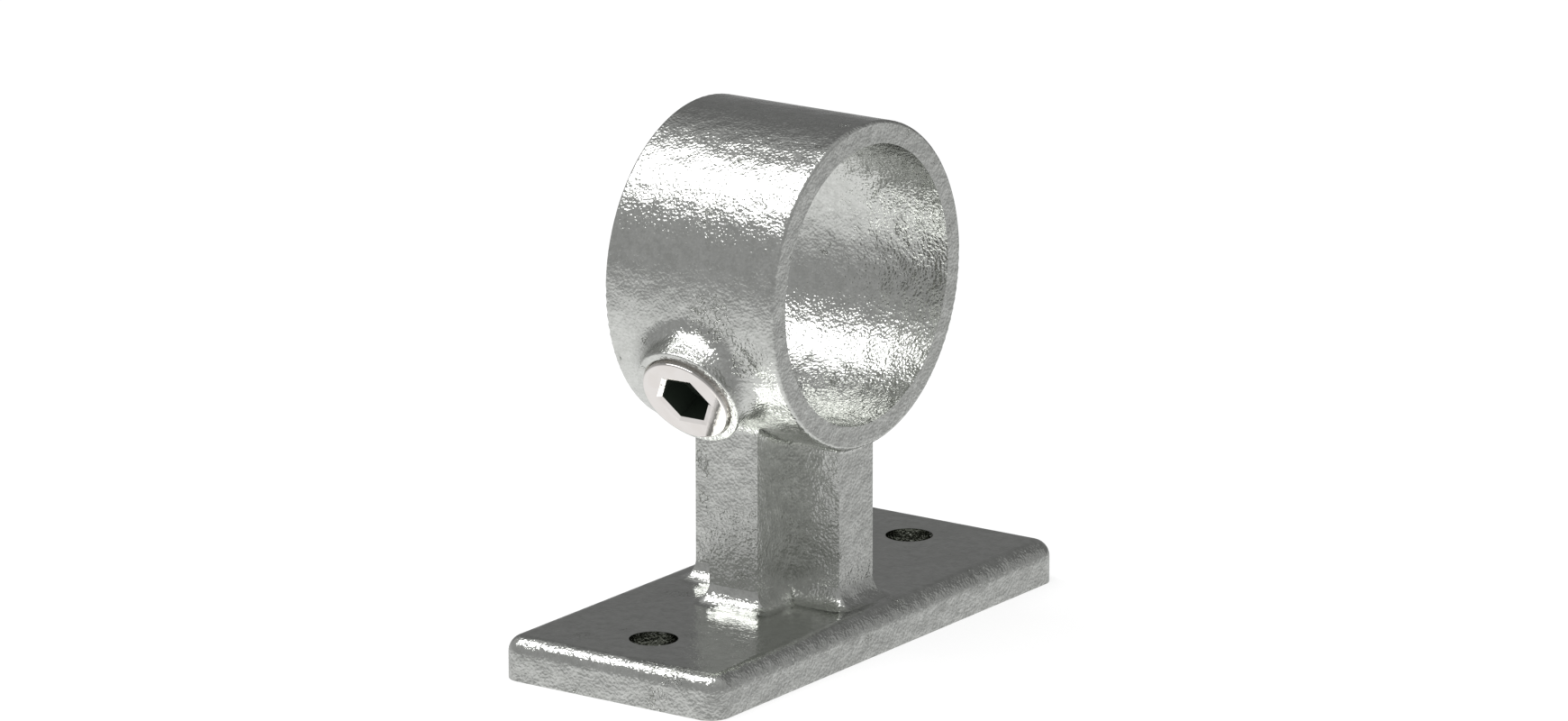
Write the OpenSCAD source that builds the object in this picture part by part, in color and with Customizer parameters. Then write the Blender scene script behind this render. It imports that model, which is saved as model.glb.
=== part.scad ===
// Handrail bracket: a one-piece galvanised casting that carries a tubular rail
// above a two-bolt foot, with a grub screw that locks the rail in its collar.
// X runs along the rail, Y along the foot and Z up. The origin is the centre
// of the foot's underside. All sizes are in millimetres.

/* [Collar] */
// Bore of the collar, which takes a tube of 48.3 mm outside diameter
bore_d = 49.2; // [48.8:0.1:49.8]
// Wall of the collar round its bore
collar_wall = 4; // [3.5:0.25:5]
// Length of the collar along the rail
collar_w = 35; // [33:0.5:42]
// Rounding of the collar's outer edges
collar_edge_r = 0.6; // [0.3:0.1:1.2]
// Height of the rail's centre line above the underside of the foot
rail_h = 64.2; // [60:0.2:80]

/* [Foot] */
// Length of the foot, across the rail
foot_l = 104.8; // [98:0.2:120]
// Width of the foot, along the rail
foot_w = 45.4; // [44:0.2:56]
// Thickness of the foot
foot_t = 7.6; // [6:0.2:10]
// Rounding round the top edge of the foot
foot_edge_r = 3; // [1.5:0.25:3.5]
// Rounding of the foot's four corners, seen from above
foot_corner_r = 3.8; // [3.6:0.2:8]
// Diameter of the two bolt holes
hole_d = 8.4; // [7:0.1:10.5]
// Distance between the two bolt holes
hole_spacing = 77.6; // [70:0.2:84]

/* [Stem] */
// Span of each pair of arms of the cross-shaped stem
stem_span = 30.4; // [28:0.2:31.5]
// Thickness of each arm
arm_t = 10.2; // [8:0.2:12]
// Fillet where the stem meets the foot
foot_fillet_r = 3.6; // [2:0.2:4.4]
// Fillet where the ends of the arms across the rail meet the collar
top_fillet_r = 3; // [1.5:0.25:4]
// Fillet where the arms' other faces meet the collar
side_fillet_r = 1.4; // [0.8:0.1:1.6]

/* [Screw boss] */
// Angle of the boss below the horizontal
boss_angle = 29.5; // [20:0.5:35]
// Outside diameter of the boss
boss_d = 20; // [19.6:0.2:23]
// Height of the boss above the outside of the collar
boss_rise = 4.4; // [3:0.1:6]
// Rounding of the boss's rim
boss_edge_r = 0.3; // [0.2:0.1:0.6]
// Fillet round the root of the boss
boss_root_r = 4; // [2:0.25:5]
// Width of the lead-in chamfer round the mouth of the tapped hole
lead_in = 0.3; // [0.2:0.1:0.6]

/* [Grub screw] */
// Outside diameter of the grub screw
screw_d = 16.66; // [14:0.02:17]
// Radial clearance between the screw and its hole
screw_clearance = 0.05; // [0.03:0.01:0.1]
// How far the screw's face stands out of the boss
screw_proud = 1; // [0.1:0.1:1.5]
// Gap between the screw's tip and the bore, with the rail free to slide
tip_gap = 0.1; // [0.05:0.05:0.5]
// Rounding of the screw's outer edge
screw_edge_r = 0.3; // [0.2:0.1:0.8]
// Chamfer round the screw's tip
tip_chamfer = 1; // [0.5:0.1:1.5]
// Diameter of the hollow in the tip that bites into the rail
cup_d = 9; // [6:0.5:10]
// Depth of the hollow in the tip
cup_depth = 0.9; // [0.4:0.1:1.2]
// Width of the hexagon socket across its flats
hex_af = 8.4; // [7:0.1:9]
// Depth of the hexagon socket
hex_depth = 5.6; // [5.4:0.1:5.8]
// Width of the chamfer round the mouth of the socket
hex_chamfer = 0.6; // [0.2:0.1:0.8]

/* [Hidden] */
$fn = 96;
// How far one solid reaches into the next so that they join into one
joined = 1;
// Arcs of fillets are cut this much oversize, so that they cross the faces
// that they blend instead of only touching them
graze = 0.02;
// How far a cut runs past the surface that it starts from
past = 1;
collar_r = bore_d / 2 + collar_wall;
boss_r = boss_d / 2;
// Distances along the boss's axis, counted from the rail's centre line
boss_end = collar_r + boss_rise;
screw_face = boss_end + screw_proud;
screw_tip = bore_d / 2 + tip_gap;
screw_l = screw_face - screw_tip;
screw_r = screw_d / 2;
tapped_r = screw_r + screw_clearance;
half_span = stem_span / 2;
// Steps round the boss and across its root fillet
ROOT_TURNS = 48;
ROOT_STEPS = 5;

// The point at fraction t of the arc from direction a to direction b, which
// are w degrees apart
function on_arc(a, b, w, t) = (sin((1 - t) * w) * a + sin(t * w) * b) / sin(w);

// Puts what is drawn round Z onto the rail's centre line, along X
module along_rail() {
    translate([0, 0, rail_h]) rotate([0, 90, 0]) children();
}

// Puts what is drawn round Z onto the boss's axis, out and down from the rail
module along_boss() {
    translate([0, 0, rail_h]) rotate([90 + boss_angle, 0, 0]) children();
}

// A quarter disc in the first quadrant
module quarter_disc(r) {
    intersection() {
        circle(r);
        square(r);
    }
}

// A bar's section from its centre line to a side, with its top edge rounded
module edge_section(w, h, r) {
    square([w - r, h]);
    translate([w - r, 0]) square([r, h - r]);
    translate([w - r, h - r]) quarter_disc(r);
}

// The section of an inside fillet in the first quadrant, with its back and its
// underside sunk into the faces that it blends
module cove(r, back = joined) {
    difference() {
        translate([-back, -joined]) square([r + back, r + joined]);
        translate([r, r]) circle(r + graze);
    }
}

// Runs a section along Y, centred, with the section's Y turned to Z
module run_along_y(l) {
    translate([0, l / 2, 0]) rotate([90, 0, 0]) linear_extrude(l) children();
}

// The foot: a flat plate with round corners and a rounded top edge
module foot_plate() {
    inner_w = foot_w - 2 * foot_corner_r;
    inner_l = foot_l - 2 * foot_corner_r;
    translate([-inner_w / 2, -inner_l / 2, 0]) cube([inner_w, inner_l, foot_t]);
    for (side = [0, 180]) rotate([0, 0, side]) {
        translate([inner_w / 2, 0, 0])
            run_along_y(inner_l) edge_section(foot_corner_r, foot_t, foot_edge_r);
        translate([0, inner_l / 2, 0])
            rotate([0, 0, 90])
                run_along_y(inner_w) edge_section(foot_corner_r, foot_t, foot_edge_r);
    }
    for (side = [0, 1], end = [0, 1]) mirror([side, 0, 0]) mirror([0, end, 0])
        translate([inner_w / 2, inner_l / 2, 0])
            rotate_extrude(angle = 90) edge_section(foot_corner_r, foot_t, foot_edge_r);
}

// The fillet round the foot of a bar that is w along X and l along Y
module foot_fillet(w, l) {
    translate([0, 0, foot_t]) {
        for (side = [0, 180]) rotate([0, 0, side]) {
            translate([w / 2, 0, 0]) run_along_y(l) cove(foot_fillet_r);
            translate([0, l / 2, 0]) rotate([0, 0, 90]) run_along_y(w) cove(foot_fillet_r);
        }
        for (side = [0, 1], end = [0, 1]) mirror([side, 0, 0]) mirror([0, end, 0])
            translate([w / 2, l / 2, 0])
                rotate_extrude(angle = 90) cove(foot_fillet_r, back = 0);
    }
}

// Straight fillets, w long, between the collar and the upright faces at Y = +-y
module straight_fillets(y, w, r) {
    out = y + r;
    drop = sqrt(pow(collar_r + r, 2) - out * out);
    inner = (collar_r - joined) / (collar_r + r);
    translate([0, 0, rail_h]) for (side = [0, 1]) mirror([0, side, 0])
        rotate([90, 0, 90]) translate([0, 0, -w / 2]) linear_extrude(w)
            difference() {
                polygon([
                    [y - joined, -drop],
                    [out, -drop],
                    [out * inner, -drop * inner],
                    [y - joined, -drop * inner]
                ]);
                translate([out, -drop]) circle(r + graze);
            }
}

// Curved fillets between the collar's lower half and the upright faces at X = +-x
module curved_fillets(x, r) {
    along_rail() for (side = [0, 1]) mirror([0, 0, side])
        rotate([0, 0, -90]) rotate_extrude(angle = 180) translate([collar_r, x]) cove(r);
}

// The fillets between a bar of the stem and the collar. At the bar's corners
// the curved and the straight ones are cut off where they cross
module head_fillet(w, l, straight_r) {
    r = side_fillet_r;
    straight_fillets(l / 2, w, straight_r);
    intersection() {
        curved_fillets(w / 2, r);
        union() {
            translate([-w / 2 - r, -l / 2, foot_t]) cube([w + 2 * r, l, rail_h - foot_t]);
            straight_fillets(l / 2, w + 2 * r, straight_r);
        }
    }
}

// One bar of the stem, w along X and l along Y, with its fillets
module stem_bar(w, l, straight_r) {
    translate([-w / 2, -l / 2, foot_t - joined])
        cube([w, l, rail_h - foot_t + joined]);
    foot_fillet(w, l);
    head_fillet(w, l, straight_r);
}

// The stem: two crossed bars that run up into the collar
module stem() {
    stem_bar(stem_span, arm_t, side_fillet_r);
    stem_bar(arm_t, stem_span, top_fillet_r);
}

// The collar as a solid drum, before it is bored
module collar_drum() {
    along_rail() for (side = [0, 1]) mirror([0, 0, side])
        rotate_extrude() edge_section(collar_r, collar_w / 2, collar_edge_r);
}

// The boss as a solid post, before it is tapped
module boss_post() {
    along_boss() rotate_extrude() edge_section(boss_r, boss_end, boss_edge_r);
}

// One section of the boss's root fillet, at angle a round the boss: a ball of
// the fillet's radius rests on both the boss and the collar, and the fillet is
// the arc between the two points where it touches them
function root_section(a) =
    let (
        r = boss_root_r,
        reach = boss_r + r,
        ball = [reach * cos(a), reach * sin(a),
                sqrt(pow(collar_r + r, 2) - pow(reach * sin(a), 2))],
        to_boss = [-cos(a), -sin(a), 0],
        to_collar = [0, -ball[1], -ball[2]] / (collar_r + r),
        w = acos(to_boss * to_collar),
        sunk = (collar_r - joined) / (collar_r + r),
        under = [ball[0], ball[1] * sunk, ball[2] * sunk],
        core = (boss_r - joined) * [cos(a), sin(a)]
    )
    concat(
        [[core[0], core[1], ball[2]]],
        [for (i = [0 : ROOT_STEPS])
            ball + (r + graze) * on_arc(to_boss, to_collar, w, i / ROOT_STEPS)],
        [under, [core[0], core[1], under[2]]]
    );

// The fillet round the root of the boss, which follows the collar's curve
module boss_root() {
    ring = ROOT_STEPS + 4;
    points = [for (k = [0 : ROOT_TURNS - 1]) each root_section(360 * k / ROOT_TURNS)];
    faces = [for (k = [0 : ROOT_TURNS - 1], i = [0 : ring - 1])
        let (
            next = (k + 1) % ROOT_TURNS,
            a = k * ring + i,
            b = k * ring + (i + 1) % ring,
            c = next * ring + (i + 1) % ring,
            d = next * ring + i
        )
        each [[a, c, b], [a, d, c]]];
    along_boss() polyhedron(points, faces, convexity = 6);
}

// The bore for the rail
module rail_bore() {
    along_rail() cylinder(h = collar_w + 2 * past, d = bore_d, center = true);
}

// The hole for the grub screw, with the chamfer round its mouth
module tapped_hole() {
    along_boss() {
        cylinder(h = boss_end + past, r = tapped_r);
        translate([0, 0, boss_end - lead_in])
            cylinder(h = lead_in + past, r1 = tapped_r, r2 = tapped_r + lead_in + past);
    }
}

// The two bolt holes in the foot
module bolt_holes() {
    for (end = [-1, 1]) translate([0, end * hole_spacing / 2, -past])
        cylinder(h = foot_t + 2 * past, d = hole_d);
}

// The casting: foot, stem, collar and boss in one piece
module cast_bracket() {
    color([0.62, 0.63, 0.62]) difference() {
        union() {
            foot_plate();
            stem();
            collar_drum();
            boss_post();
            boss_root();
        }
        rail_bore();
        tapped_hole();
        bolt_holes();
    }
}

// The screw's body, from its tip at zero to its rounded outer edge
module screw_blank() {
    rotate_extrude() {
        polygon([
            [0, 0],
            [screw_r - tip_chamfer, 0],
            [screw_r, tip_chamfer],
            [screw_r, screw_l / 2],
            [0, screw_l / 2]
        ]);
        translate([0, screw_l / 2]) edge_section(screw_r, screw_l / 2, screw_edge_r);
    }
}

// The hexagon socket, with two flats parallel to the rail
module hex_socket() {
    corner_r = hex_af / sqrt(3);
    mouth_r = (hex_af + 2 * (hex_chamfer + past)) / sqrt(3);
    translate([0, 0, screw_l - hex_depth]) cylinder(h = hex_depth + past, r = corner_r, $fn = 6);
    translate([0, 0, screw_l - hex_chamfer])
        cylinder(h = hex_chamfer + past, r1 = corner_r, r2 = mouth_r, $fn = 6);
}

// The hollow in the screw's tip
module cup_point() {
    translate([0, 0, -past])
        cylinder(h = cup_depth + past, r1 = cup_d / 2 * (1 + past / cup_depth), r2 = 0);
}

// The grub screw that locks the rail
module grub_screw() {
    color([0.86, 0.85, 0.85]) along_boss() translate([0, 0, screw_tip])
        difference() {
            screw_blank();
            hex_socket();
            cup_point();
        }
}

cast_bracket();
grub_screw();
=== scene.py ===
import math

import bpy
import numpy as np
from mathutils import Matrix, Vector


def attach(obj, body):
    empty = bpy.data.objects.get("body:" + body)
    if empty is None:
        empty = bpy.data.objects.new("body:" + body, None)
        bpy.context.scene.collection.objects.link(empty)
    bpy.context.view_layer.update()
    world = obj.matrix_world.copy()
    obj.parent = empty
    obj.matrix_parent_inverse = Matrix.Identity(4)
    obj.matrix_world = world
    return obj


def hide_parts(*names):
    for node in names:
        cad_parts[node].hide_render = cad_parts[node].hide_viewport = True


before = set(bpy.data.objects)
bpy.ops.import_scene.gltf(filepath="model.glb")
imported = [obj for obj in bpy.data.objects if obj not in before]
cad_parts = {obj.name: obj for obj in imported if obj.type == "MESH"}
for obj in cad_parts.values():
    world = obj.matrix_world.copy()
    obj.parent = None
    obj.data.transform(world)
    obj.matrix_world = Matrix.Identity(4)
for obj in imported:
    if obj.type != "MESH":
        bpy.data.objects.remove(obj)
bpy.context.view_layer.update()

scene = bpy.context.scene
scene.view_settings.view_transform = "Standard"

# The view, from well to the right of the foot's end and a little above it, with
# a long lens, so that upright lines stay nearly parallel.
LENS_MM = 200
SENSOR_MM = 36
CLIP = (0.02, 60)
VIEW_TURN = math.radians(35)
VIEW_DROP = math.radians(15)
VIEWPOINT = Vector((0.83505, -1.19256, 0.43829))

ahead = Vector((
    -math.sin(VIEW_TURN) * math.cos(VIEW_DROP),
    math.cos(VIEW_TURN) * math.cos(VIEW_DROP),
    -math.sin(VIEW_DROP),
))
right = Vector((math.cos(VIEW_TURN), math.sin(VIEW_TURN), 0))
up = right.cross(ahead)
lens = bpy.data.cameras.new("view")
lens.lens = LENS_MM
lens.sensor_width = SENSOR_MM
lens.clip_start, lens.clip_end = CLIP
camera = bpy.data.objects.new("view", lens)
scene.collection.objects.link(camera)
facing = Matrix((right, up, -ahead)).transposed().to_4x4()
camera.matrix_world = Matrix.Translation(VIEWPOINT) @ facing
scene.camera = camera


# The studio: a white sweep under a large soft lamp that hangs over the front
# left, with mid-grey walls and a darker one behind. Bare metal shows all of it.
class Shade:
    """One value in a node tree. Python's operators on it add the Math nodes."""

    def __init__(self, tree, socket=None):
        self.tree, self.socket = tree, socket

    def node(self, kind, settings=None, out=0, **inputs):
        """A node of a kind: its settings go in first, then the values or links
        of its sockets, named with _ for a space or as i0, i1 and so on by their
        place, and out picks its output."""
        made = self.tree.nodes.new("ShaderNode" + kind)
        for name, value in (settings or {}).items():
            if name == "stops":
                ramp = made.color_ramp
                while len(ramp.elements) < len(value):
                    ramp.elements.new(1)
                for stop, (place, grey) in zip(ramp.elements, value):
                    stop.position = place
                    stop.color = (grey, grey, grey, 1)
            else:
                setattr(made, name, value)
        for name, value in inputs.items():
            by_place = name[0] == "i" and name[1:].isdigit()
            socket = made.inputs[int(name[1:]) if by_place else name.replace("_", " ")]
            if isinstance(value, Shade):
                self.tree.links.new(value.socket, socket)
            else:
                socket.default_value = value
        return Shade(self.tree, made.outputs[out] if made.outputs else None)

    def math(self, operation, *terms):
        return self.node("Math", {"operation": operation}, **{f"i{k}": t for k, t in enumerate(terms)})

    def __add__(self, other):
        return self.math("ADD", self, other)

    def __sub__(self, other):
        return self.math("SUBTRACT", self, other)

    def __rsub__(self, other):
        return self.math("SUBTRACT", other, self)

    def __mul__(self, other):
        return self.math("MULTIPLY", self, other)

    def __truediv__(self, other):
        return self.math("DIVIDE", self, other)

    __radd__, __rmul__ = __add__, __mul__

    def __abs__(self):
        return self.math("ABSOLUTE", self)

    def root(self):
        return self.math("SQRT", self)

    def at_least(self, other):
        """The larger of the two values."""
        return self.math("MAXIMUM", self, other)

    def step(self, low, high):
        """0 below low, 1 above high and a smooth rise between them."""
        return self.node("MapRange", {"interpolation_type": "SMOOTHSTEP"},
                         Value=self, From_Min=low, From_Max=high)

    def noise(self, size, detail, roughness=0.5):
        """Noise over the place, from 0 to 1, whose blotches are as large as size."""
        return self.node("TexNoise", Vector=self, Scale=1 / size, Detail=detail, Roughness=roughness)

    def parts(self):
        """The three numbers of the place."""
        return [self.node("SeparateXYZ", out=k, i0=self) for k in range(3)]


def tree_of(owner):
    """The emptied node tree of a material or world."""
    owner.use_nodes = True
    owner.node_tree.nodes.clear()
    return Shade(owner.node_tree)


def blend_colors(low, high, share):
    """The colour low where share is 0 and high where it is 1."""
    return share.node("Mix", {"data_type": "RGBA"}, out=2, i0=share, i6=low, i7=high)


# Radiance of the walls and of the floor's glow, by the sine of the elevation
LEFT_SIDE = [(-1.0, 0.98), (-0.8, 0.97), (-0.62, 0.90), (-0.45, 0.82), (-0.32, 0.71),
             (-0.19, 0.55), (-0.06, 0.42), (0.02, 0.38), (0.45, 0.39), (0.9, 0.50)]
RIGHT_SIDE = [(-1.0, 0.98), (-0.8, 0.93), (-0.62, 0.80), (-0.45, 0.68), (-0.32, 0.55),
              (-0.19, 0.44), (-0.06, 0.38), (0.02, 0.37), (0.45, 0.38), (0.9, 0.50)]
DARK_SIDE = [(-1.0, 0.98), (-0.8, 0.95), (-0.62, 0.85), (-0.45, 0.75), (-0.32, 0.63),
             (-0.16, 0.48), (-0.04, 0.27), (0.03, 0.20), (0.6, 0.175), (0.9, 0.38)]
# How far round to the right the left side turns into the right side
LEFT_TO_RIGHT = (-0.3, 0.5)
# The dark side's middle, and the half angles between which it fades out
DARK_MIDDLE = math.radians(-15)
DARK_INSIDE = math.cos(math.radians(36))
DARK_OUTSIDE = math.cos(math.radians(52))
# Keeps the division below from failing straight up and straight down
LEAST_LEVEL_SHARE = 0.001

world = bpy.data.worlds.new("studio")
scene.world = world
air = tree_of(world)
way = air.node("TexCoord")
x, y, z = way.parts()
level = z * 0.5 + 0.5
left_side, right_side, dark_side = (
    level.node("ValToRGB", {"stops": [((sine + 1) / 2, grey) for sine, grey in side]}, i0=level)
    for side in (LEFT_SIDE, RIGHT_SIDE, DARK_SIDE)
)
flat = (x * x + y * y).root().at_least(LEAST_LEVEL_SHARE)
toward_dark = (x * math.sin(DARK_MIDDLE) + y * math.cos(DARK_MIDDLE)) / flat
studio = blend_colors(left_side, right_side, (x / flat).step(*LEFT_TO_RIGHT))
studio = blend_colors(studio, dark_side, toward_dark.step(DARK_OUTSIDE, DARK_INSIDE))
background = studio.node("Background", i0=studio, i1=1.0)
air.node("OutputWorld", i0=background)

# The lamp hangs level over the object. Its sides are in shares of its height.
LAMP_HEIGHT = 1.2
LAMP_X = (-1.0, 0.3)
LAMP_Y = (-0.69, -0.01)
LAMP_RADIANCE = 3.3

lamp = bpy.data.lights.new("soft_lamp", "AREA")
lamp.shape = "RECTANGLE"
lamp.size = (LAMP_X[1] - LAMP_X[0]) * LAMP_HEIGHT
lamp.size_y = (LAMP_Y[1] - LAMP_Y[0]) * LAMP_HEIGHT
lamp.energy = LAMP_RADIANCE * math.pi * lamp.size * lamp.size_y
hung = bpy.data.objects.new("soft_lamp", lamp)
scene.collection.objects.link(hung)
hung.location = (sum(LAMP_X) / 2 * LAMP_HEIGHT, sum(LAMP_Y) / 2 * LAMP_HEIGHT, LAMP_HEIGHT)

# The sweep that the bracket stands on: white, with a faint shadow. It glows by
# GLOW and gives back the share RECEIVES of the light that falls on it.
FLOOR_HALF = 4.0
FLOOR_DROP = 0.0001
GLOW = 0.78
RECEIVES = 0.34

sheet = bpy.data.meshes.new("sweep")
floor_corners = ((-1, -1), (1, -1), (1, 1), (-1, 1))
sheet.from_pydata(
    [(sx * FLOOR_HALF, sy * FLOOR_HALF, -FLOOR_DROP) for sx, sy in floor_corners], [], [(0, 1, 2, 3)])
sweep = bpy.data.objects.new("sweep", sheet)
scene.collection.objects.link(sweep)
paper = bpy.data.materials.new("white_sweep")
pulp = tree_of(paper)
lit = pulp.node("BsdfDiffuse", Color=(RECEIVES,) * 3 + (1,))
glow = pulp.node("Emission", Color=(1, 1, 1, 1), Strength=GLOW)
pulp.node("OutputMaterial", i0=pulp.node("AddShader", i0=lit, i1=glow))
sheet.materials.append(paper)
sweep.visible_glossy = False


# The casting: foot, stem, collar and boss in one piece of iron. It was dipped
# in molten zinc, which left a bright skin with a fine grain and dull clouds.
# Where its faces and holes lie, in metres:
FOOT_TOP = 0.0076
HOLE_OUT = 0.0388
HOLE_RADIUS = 0.00425
RAIL_CENTRE = np.array([0, 0, 0.0642])
BOSS_DROP = math.radians(29.5)
BOSS_AXES = np.array([
    [1, 0, 0],
    [0, -math.sin(BOSS_DROP), math.cos(BOSS_DROP)],
    [0, -math.cos(BOSS_DROP), -math.sin(BOSS_DROP)],
])
BOSS_END = 0.0330
BOSS_RADIUS = 0.010
# How far the calmer finish of the boss's end and the foot's top, and the painted shade in the holes,
# fade out
END_FADE = 0.0002
RIM_FADE = 0.0005
UNDER_TOP_FADE = 0.0004
OVER_TOP_FADE = 0.0008
HOLE_SHADE_FADE = 0.0001
# The zinc's colours: bright, clouded, darker for random mottle and for painted shade in the low parts
# of the grain, and painted shade in the holes and pits
ZINC = (0.70, 0.71, 0.685, 1)
ZINC_DULL = (0.645, 0.655, 0.63, 1)
ZINC_MOTTLE_AND_GRAIN_SHADE = (0.54, 0.55, 0.525, 1)
ZINC_HOLE_AND_PIT_SHADE = (0.33, 0.34, 0.31, 1)
ZINC_ROUGH = 0.08
ZINC_ROUGH_ON_TOP = 0.03
DULL_ROUGHER = 0.05
# The relief: how wide each kind is, and how high
GRAIN_SIZE = 0.00052
GRAIN_HEIGHT = 0.00014
RIPPLE_SIZE = 0.0026
RIPPLE_HEIGHT = 0.00021
PIT_SIZE = 0.0010
PIT_DEPTH = 0.00014
# The share of the relief that is lost on the faced end and on the foot's top
END_CALM = 0.25
TOP_CALM = 0.6
# Noise values between which clouds, spangle, painted shade in the grain's low parts, and pits come in
MOTTLE_SIZE = 0.0016
CLOUD_SIZE = 0.009
DULL_FROM = (0.42, 0.66)
SPANGLE_MOTTLE = (0.36, 0.60)
GRAIN_SHADE_FROM = (0.3, 0.7)
MOTTLE_SHARE = 0.55
GRAIN_SHADE_SHARE = 0.35
PITTED_FROM = (0.62, 0.68)
PITS_FROM = (0.22, 0.36)
PIT_EDGE = (0.01, 0.045)
# How much painted shade darkens the pits
PIT_DARKNESS = 0.9
# Clusters of pits: a place on the casting's surface and how far they spread,
# with the share of that spread in which they are densest
PITTED = [
    ((0.0045, -0.0286, 0.0628), 0.0075),
    ((0.0110, -0.0272, 0.0555), 0.0045),
    ((0.0106, -0.0524, 0.0020), 0.0040),
    ((-0.0107, -0.0439, 0.0076), 0.0035),
    ((0.0012, -0.0244, 0.0791), 0.0035),
]
DENSEST = 0.2


def from_boss(place):
    """The distance off the boss's axis, and the distance out along it from the
    rail's centre: the place, less the centre, times each of the boss's axes."""
    offset = place.node("VectorMath", {"operation": "SUBTRACT"}, i0=place, i1=RAIL_CENTRE)
    across, high, reach = (
        place.node("VectorMath", {"operation": "DOT_PRODUCT"}, out=1, i0=offset, i1=axis)
        for axis in BOSS_AXES
    )
    return (across * across + high * high).root(), reach


def make_pits(place, cloud, mottle):
    """Worm-shaped pits: lines where a noise crosses its middle value, inside the
    clusters and the densest clouds, and only where the mottle is high."""
    pitted = cloud.step(*PITTED_FROM)
    for centre, spread in PITTED:
        away = place.node("VectorMath", {"operation": "DISTANCE"}, out=1, i0=place, i1=centre)
        pitted = pitted.at_least(1 - away.step(spread * DENSEST, spread))
    worm = place.noise(PIT_SIZE, 1.0) - 0.5
    return (1 - abs(worm).step(*PIT_EDGE)) * (pitted * mottle).step(*PITS_FROM)


def make_zinc_skin():
    """Bright zinc over cast iron: the grain of the sand mould and low ripples
    from the dip, both centred on 0 and added as bump, clouds where the skin is
    duller, darker spangle at random, and clusters of casting pits. Painted shade
    darkens the low parts of the grain, the pits and the bolt holes."""
    zinc = bpy.data.materials.new("zinc_skin")
    skin = tree_of(zinc)
    place = skin.node("TexCoord", out=3)
    grain = place.noise(GRAIN_SIZE, 1.5, 0.4)
    ripple = place.noise(RIPPLE_SIZE, 0.0)
    mottle = place.noise(MOTTLE_SIZE, 3.0, 0.75)
    cloud = place.noise(CLOUD_SIZE, 3.0, 0.6)
    pits = make_pits(place, cloud, mottle)

    along, across, high = place.parts()
    radius, reach = from_boss(place)
    in_end = reach.step(BOSS_END - END_FADE, BOSS_END)
    faced = in_end * (1 - radius.step(BOSS_RADIUS, BOSS_RADIUS + RIM_FADE))
    smooth_top = high.step(FOOT_TOP - UNDER_TOP_FADE, FOOT_TOP)
    smooth_top = smooth_top * (1 - high.step(FOOT_TOP, FOOT_TOP + OVER_TOP_FADE))
    from_hole = abs(across) - HOLE_OUT
    off_axis = along * along + from_hole * from_hole
    # Painted shade inside the foot's bolt holes: the zinc is made darker there
    hole_shade = 1 - off_axis.step(HOLE_RADIUS ** 2, (HOLE_RADIUS + HOLE_SHADE_FADE) ** 2)

    height = (grain - 0.5) * (GRAIN_HEIGHT / RIPPLE_HEIGHT) + (ripple - 0.5)
    height = height * (1 - faced * END_CALM) * (1 - smooth_top * TOP_CALM)
    height = height - pits * (PIT_DEPTH / RIPPLE_HEIGHT) * (1 - smooth_top)

    dull = cloud.step(*DULL_FROM)
    # Darker spangle from the mottle at random, plus painted shade in the low parts of the grain's bump
    spangle_and_grain_shade = (1 - mottle.step(*SPANGLE_MOTTLE)) * MOTTLE_SHARE
    spangle_and_grain_shade = spangle_and_grain_shade + (1 - grain.step(*GRAIN_SHADE_FROM)) * GRAIN_SHADE_SHARE
    color = blend_colors(ZINC, ZINC_DULL, dull)
    color = blend_colors(color, ZINC_MOTTLE_AND_GRAIN_SHADE, spangle_and_grain_shade)
    # Painted shade in the pits, with the same dark colour as in the holes
    color = blend_colors(color, ZINC_HOLE_AND_PIT_SHADE, pits * PIT_DARKNESS)
    shader = skin.node(
        "BsdfPrincipled",
        Base_Color=blend_colors(color, ZINC_HOLE_AND_PIT_SHADE, hole_shade),
        Metallic=1.0,
        Roughness=dull * DULL_ROUGHER + ZINC_ROUGH - smooth_top * (ZINC_ROUGH - ZINC_ROUGH_ON_TOP),
        Normal=skin.node("Bump", Height=height, Strength=1.0, Distance=RIPPLE_HEIGHT),
    )
    skin.node("OutputMaterial", i0=shader)
    return zinc


zinc_skin = make_zinc_skin()
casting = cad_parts["cast_bracket"]
casting.data.materials[0] = zinc_skin


# The blend round the root of the boss, part of the same casting. A ball rolls
# round the boss and rests on it and on the collar; the blend is what it touches.
# The ball is a little larger than in the solid, so as to cover its flat facets.
COLLAR_RADIUS = 0.0286
BALL = 0.0043
GRAZE = 1.0006
SUNK = 0.0012
ROOT_TURNS = 160
ROOT_STEPS = 20
ROOT_SHARP_ANGLE = 40


def quads(turns, steps, closed):
    """Faces of a grid of points that runs round in turns, and in steps from end
    to end, or round as well where it is closed."""
    i, j = np.meshgrid(np.arange(turns), np.arange(steps if closed else steps - 1), indexing="ij")
    beside, after = (i + 1) % turns, (j + 1) % steps
    corners = [i * steps + j, i * steps + after, beside * steps + after, beside * steps + j]
    return np.stack(corners, -1).reshape(-1, 4).tolist()


def make_on_boss(name, points, faces, sharp_angle, material):
    """A smooth piece from points in the boss's own axes. Its edges stay sharp
    where the faces turn by more than sharp_angle degrees."""
    mesh = bpy.data.meshes.new(name)
    mesh.from_pydata((RAIL_CENTRE + points.reshape(-1, 3) @ BOSS_AXES).tolist(), [], faces)
    mesh.shade_smooth()
    mesh.set_sharp_from_angle(angle=math.radians(sharp_angle))
    mesh.materials.append(material)
    piece = bpy.data.objects.new(name, mesh)
    scene.collection.objects.link(piece)
    return piece


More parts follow.
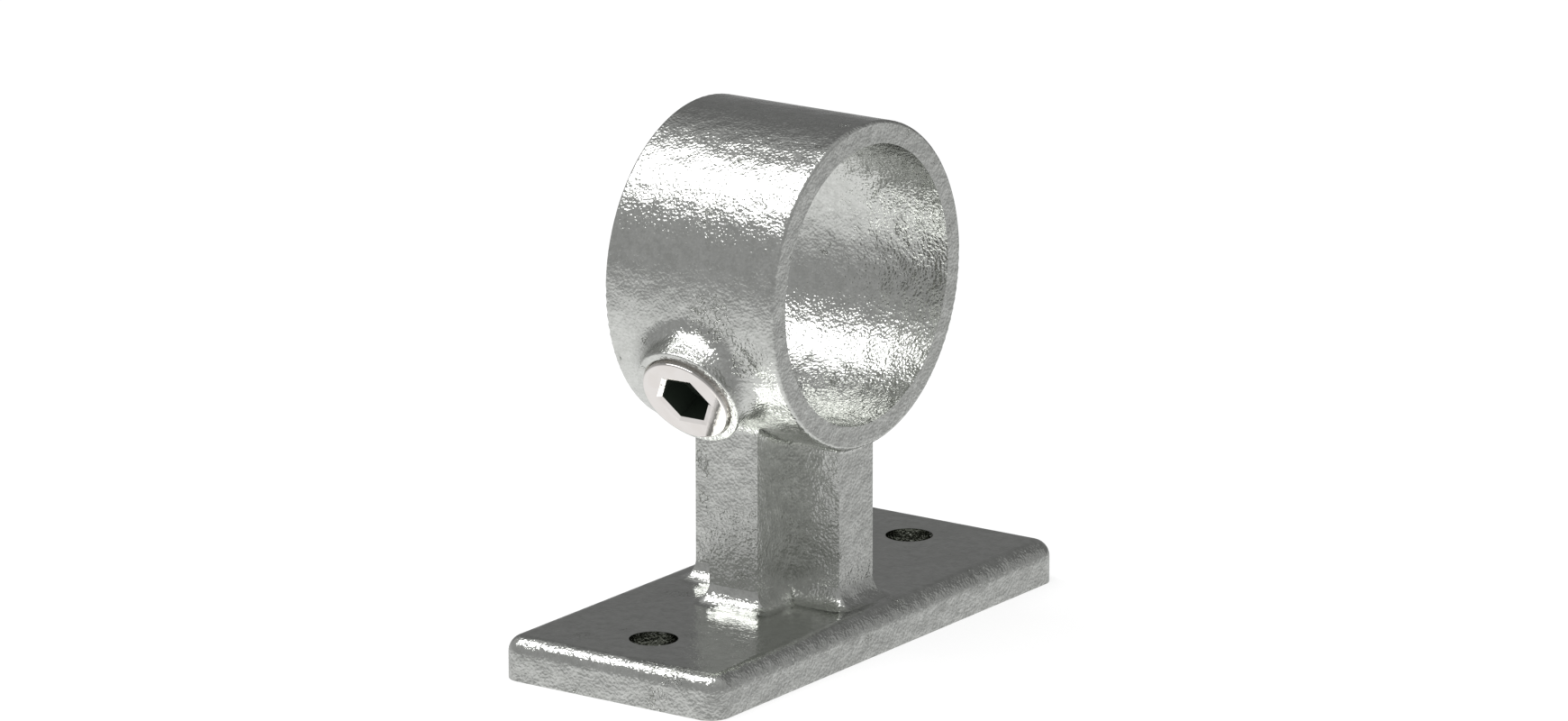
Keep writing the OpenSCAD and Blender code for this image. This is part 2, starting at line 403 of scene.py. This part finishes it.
def root_sections():
    """Sections of the blend round the boss: the arc of the ball from the boss to
    the collar, and a back that is sunk into the casting. The ball's centre is one
    ball's radius off both surfaces, and the arc turns evenly from the direction
    of the boss to that of the collar."""
    turn = (np.arange(ROOT_TURNS) * 2 * math.pi / ROOT_TURNS)[:, None, None]
    share = np.linspace(0, 1, ROOT_STEPS)[None, :, None]
    out = BOSS_RADIUS + BALL
    lift = np.sqrt((COLLAR_RADIUS + BALL) ** 2 - (out * np.sin(turn)) ** 2)
    ball = np.concatenate([out * np.cos(turn), out * np.sin(turn), lift], -1)
    to_boss = np.concatenate([-np.cos(turn), -np.sin(turn), 0 * turn], -1)
    to_collar = -ball * [0, 1, 1] / (COLLAR_RADIUS + BALL)
    width = np.arccos((to_boss * to_collar).sum(-1, keepdims=True))
    arc = (np.sin((1 - share) * width) * to_boss + np.sin(share * width) * to_collar) / np.sin(width)
    hollow = ball + BALL * GRAZE * arc
    under_collar = hollow[:, -1:] + SUNK * to_collar
    under_boss = hollow[:, :1] + SUNK * to_boss
    core = np.concatenate([under_boss[..., :2], under_collar[..., 2:]], -1)
    return np.concatenate([hollow, under_collar, core, under_boss], 1)


sections = root_sections()
root_faces = quads(*sections.shape[:2], closed=True)
boss_root = make_on_boss("boss_root", sections, root_faces, ROOT_SHARP_ANGLE, zinc_skin)
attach(boss_root, "bracket")


# The grub screw: turned from steel bar, threaded, broached for a hexagon key
# and plated. Its polished face and a plain band stand just out of the boss.
# Its outside, in metres, with reaches counted from the rail's centre:
SCREW_FACE = 0.0340
SCREW_TIP = 0.0247
SCREW_RADIUS = 0.00833
RIM = 0.0003
PLAIN_BAND = 0.0019
THREAD_PITCH = 0.001337
THREAD_DEPTH = 0.00085
THREAD_FADE = 0.0010
TIP_CHAMFER = 0.0010
CUP_RADIUS = 0.0045
CUP_DEPTH = 0.0009
CUP_LIP = 0.0002
# Its socket: half the width over the flats, the mouth's chamfer, and the drill's
# point below, with the shares of that point's radius that have a row
HEX_HALF = 0.0042
HEX_CHAMFER = 0.0008
HEX_LEAD = 0.00033
HEX_DEPTH = 0.0056
DRILL_RADIUS = 0.0038
DRILL_DEPTH = 0.0007
DRILL_ROWS = (0.25, 0.6, 1)
# Rows close beside an edge keep the faces next to it flat in the light
EDGE = 0.00004
CHAMFER_ROWS = (0, 0.05, 0.95, 1)
FACE_MIDDLE = 0.0064
RIM_ROWS = 6
ROWS_PER_PITCH = 32
SCREW_TURNS = 192
SCREW_SHARP_ANGLE = 30


def screw_surface():
    """Points of the screw from the middle of its socket, out over its face, down
    its side and into the hollow of its tip. Each row has a reach, a radius, a
    share of hexagon and a share of thread; the thread is a rounded wave that
    climbs one pitch in a turn, and the tip's chamfer cuts it off."""
    floor = SCREW_FACE - HEX_DEPTH
    low = SCREW_FACE - PLAIN_BAND
    on_face = SCREW_RADIUS - RIM - EDGE
    rows = [(floor - DRILL_DEPTH * (1 - r), r * DRILL_RADIUS, 0, 0) for r in DRILL_ROWS]
    rows += [(floor, HEX_HALF, 1, 0)]
    rows += [(SCREW_FACE - HEX_LEAD * (1 - r), HEX_HALF + HEX_CHAMFER * r, 1, 0) for r in CHAMFER_ROWS]
    rows += [(SCREW_FACE, HEX_HALF + HEX_CHAMFER + EDGE, 1, 0)]
    rows += [(SCREW_FACE, FACE_MIDDLE, 0, 0), (SCREW_FACE, on_face, 0, 0)]
    for angle in np.linspace(0, math.pi / 2, RIM_ROWS):
        drop, inset = RIM * (1 - math.cos(angle)), RIM * (1 - math.sin(angle))
        rows += [(SCREW_FACE - drop, SCREW_RADIUS - inset, 0, 0)]
    rows += [(SCREW_FACE - RIM - EDGE, SCREW_RADIUS, 0, 0)]
    count = round((low - SCREW_TIP) / THREAD_PITCH * ROWS_PER_PITCH)
    for reach in np.linspace(low, SCREW_TIP, count):
        rows += [(reach, SCREW_RADIUS, 0, min(1, (low - reach) / THREAD_FADE))]
    rows += [(SCREW_TIP, CUP_RADIUS, 0, 0), (SCREW_TIP + CUP_LIP, CUP_RADIUS - CUP_LIP, 0, 0)]
    rows += [(SCREW_TIP + (CUP_DEPTH + CUP_LIP) / 2, (CUP_RADIUS - CUP_LIP) / 2, 0, 0)]
    reach, radius, hexagon, cut = np.array(rows).T
    turn = (np.arange(SCREW_TURNS) * 2 * math.pi / SCREW_TURNS)[:, None]
    off_flat = (turn % (math.pi / 3)) - math.pi / 6
    wave = 0.5 - 0.5 * np.cos(2 * math.pi * (reach / THREAD_PITCH - turn / (2 * math.pi)))
    across = radius * (1 - hexagon + hexagon / np.cos(off_flat)) - cut * wave * THREAD_DEPTH
    across = np.minimum(across, SCREW_RADIUS - TIP_CHAMFER + (reach - SCREW_TIP))
    return np.stack([across * np.cos(turn), across * np.sin(turn), reach + 0 * turn], -1)


# The plating's colours, bright and under the smear, and the black of the painted shade inside the
# socket
PLATE = (0.79, 0.76, 0.74, 1)
PLATE_DULL = (0.76, 0.725, 0.70, 1)
PAINTED_SOCKET_SHADE = (0.028, 0.038, 0.028, 1)
PLATE_ROUGH = 0.006
SMEAR_ROUGHER = 0.01
SHADE_ROUGHER_IN_SOCKET = 0.4
# The radii between which the socket's black painted shade ends, past half its width
SOCKET_SHADE_RADII = (0.0012, 0.0013)
SMEAR_SIZE = 0.0025
SMEAR_FROM = (0.4, 0.7)
RING_PITCH = 0.00011
RING_SHARE = 0.03
RELIEF_HEIGHT = 0.000004


def make_plated_steel():
    """Bright plating over turned steel, with a soft smear and faint rings from
    the lathe, and black painted shade inside the socket."""
    steel = bpy.data.materials.new("plated_steel")
    plate = tree_of(steel)
    place = plate.node("TexCoord", out=3)
    radius, reach = from_boss(place)
    wall_top = SCREW_FACE - HEX_LEAD
    near_fade, far_fade = (HEX_HALF + past for past in SOCKET_SHADE_RADII)
    in_socket = (1 - radius.step(near_fade, far_fade)) * (1 - reach.step(wall_top - EDGE, wall_top))
    # Black painted shade inside the socket, down to its drill point; it is not metal there
    socket_shade = in_socket * reach.step(SCREW_TIP + CUP_DEPTH, SCREW_FACE - HEX_DEPTH - DRILL_DEPTH)
    turns_out = radius * (2 * math.pi / RING_PITCH)
    rings = turns_out.math("SINE", turns_out)
    smear = place.noise(SMEAR_SIZE, 2.0, 0.4)
    plating = blend_colors(PLATE, PLATE_DULL, smear.step(*SMEAR_FROM))
    relief = rings * RING_SHARE + smear
    shader = plate.node(
        "BsdfPrincipled",
        Base_Color=blend_colors(plating, PAINTED_SOCKET_SHADE, socket_shade),
        Metallic=1 - socket_shade,
        Roughness=socket_shade * SHADE_ROUGHER_IN_SOCKET + smear * SMEAR_ROUGHER + PLATE_ROUGH,
        Normal=plate.node("Bump", Height=relief, Strength=1.0, Distance=RELIEF_HEIGHT),
    )
    plate.node("OutputMaterial", i0=shader)
    return steel


def make_screw():
    """The screw as one closed grid, with a fan of faces at each pole."""
    points = screw_surface()
    turns, steps = points.shape[:2]
    faces = quads(turns, steps, closed=False)
    first, last = turns * steps, turns * steps + 1
    beside = [(k + 1) % turns for k in range(turns)]
    faces += [(first, k * steps, beside[k] * steps) for k in range(turns)]
    faces += [(last, (beside[k] + 1) * steps - 1, (k + 1) * steps - 1) for k in range(turns)]
    poles = [[0, 0, SCREW_FACE - HEX_DEPTH - DRILL_DEPTH], [0, 0, SCREW_TIP + CUP_DEPTH]]
    points = np.vstack([points.reshape(-1, 3), poles])
    return make_on_boss("screw", points, faces, SCREW_SHARP_ANGLE, make_plated_steel())


screw = make_screw()
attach(screw, "screw")
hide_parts("grub_screw")
